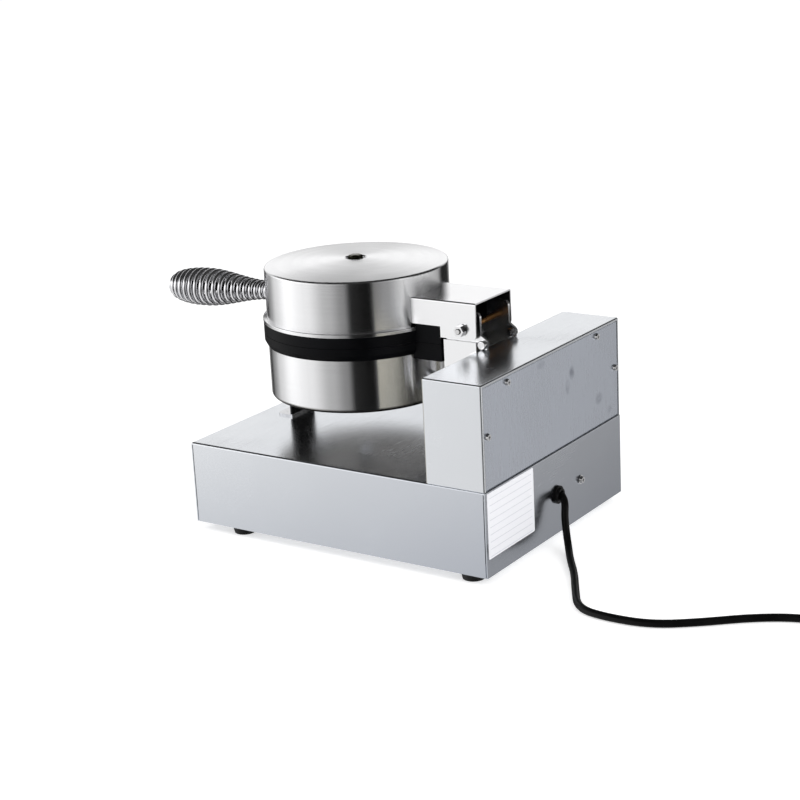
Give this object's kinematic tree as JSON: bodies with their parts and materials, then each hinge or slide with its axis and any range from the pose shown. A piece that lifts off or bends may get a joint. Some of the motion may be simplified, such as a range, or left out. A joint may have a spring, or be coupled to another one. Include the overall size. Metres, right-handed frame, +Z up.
{
  "type": "commercial waffle maker",
  "caption": "Countertop waffle maker: round cast plates in a hinged steel lid and pan with a coil-spring handle, on a sheet-steel base with a rear housing.",
  "frame": {"origin": "centre of the footprint of the machine with its handle, at the bottom of the feet", "axes": "+Z up; the handle and the control panel face -Y, the rear housing and the cord are at +Y; X runs across the machine"},
  "size_m": [0.2893, 0.8845, 0.2704],
  "materials": {
    "sheet_steel": "brushed stainless sheet",
    "cover_steel": "brushed stainless sheet, darker brushing",
    "lid_steel": "spun and polished stainless sheet",
    "polished_steel": "polished stainless",
    "fastener": "bright machine screws",
    "plate_iron": "seasoned black casting with a coating",
    "heater_metal": "oxidised heater sheath",
    "wool": "mineral wool",
    "pin_brass": "brass",
    "spring_chrome": "bright chromed spring wire",
    "black_rubber": "soft moulded rubber",
    "black_plastic": "moulded thermoset",
    "lamp_lens": "tinted lens",
    "terminal_plastic": "moulded nylon",
    "bushing_plastic": "moulded nylon",
    "cord_jacket": "smooth jacket"
  },
  "bodies": {
    "base": {"base_shell": "sheet_steel", "bottom_tray": "cover_steel", "feet": "black_rubber", "foot_screws": "fastener", "foot_nuts": "fastener", "rear_housing": "sheet_steel", "rear_cover": "cover_steel", "rear_cover_screws": "fastener", "lower_pan": "lid_steel", "lower_plate": "plate_iron", "lower_heater": "heater_metal", "lower_clamp_plate": "cover_steel", "lower_insulation": "wool", "lower_stud": "fastener", "lower_stud_nuts": "fastener", "hinge_support": "sheet_steel", "hinge_pin": "pin_brass", "hinge_bushes": "pin_brass", "hinge_washers": "fastener", "hinge_nuts": "fastener", "stop_bolts": "fastener", "stop_nuts": "fastener", "lug_bolts": "fastener", "support_screws": "fastener", "support_nuts": "fastener", "lead_tube": "polished_steel", "front_bracket": "sheet_steel", "bracket_screw": "fastener", "bracket_washer": "fastener", "pan_screws": "fastener", "pan_screw_nuts": "fastener", "thermostat": "cover_steel", "timer": "cover_steel", "pilot_lamps": "lamp_lens", "terminal_block": "terminal_plastic", "earth_screw": "fastener", "earth_washer": "fastener", "cord_bushing": "bushing_plastic", "power_cord": "cord_jacket", "cord_coil": "cord_jacket", "plug": "black_rubber"},
    "lid": {"upper_plate": "plate_iron", "lid_shell": "lid_steel", "upper_heater": "heater_metal", "upper_clamp_plate": "cover_steel", "upper_insulation": "wool", "lid_stud": "fastener", "lid_spacer": "cover_steel", "lid_nut": "fastener", "hinge_channel": "sheet_steel", "handle_spring": "spring_chrome", "handle_rod": "fastener", "handle_collar": "polished_steel", "handle_nuts": "fastener"},
    "thermostat_knob": {"thermostat_knob": "black_plastic"},
    "timer_knob": {"timer_knob": "black_plastic"}
  },
  "joints": [
    {"name": "lid_hinge", "type": "hinge", "parent": "base", "child": "lid", "pos_m": [0, 0.15417, 0.2166], "axis": [-1, 0, 0], "range_deg": [0, 90]},
    {"name": "thermostat_turn", "type": "hinge", "parent": "base", "child": "thermostat_knob", "pos_m": [-0.075, -0.11493, 0.044], "axis": [0, 1, 0], "range_deg": [0, 270]},
    {"name": "timer_turn", "type": "hinge", "parent": "base", "child": "timer_knob", "pos_m": [0.075, -0.11493, 0.044], "axis": [0, 1, 0], "range_deg": [0, 300]}
  ]
}
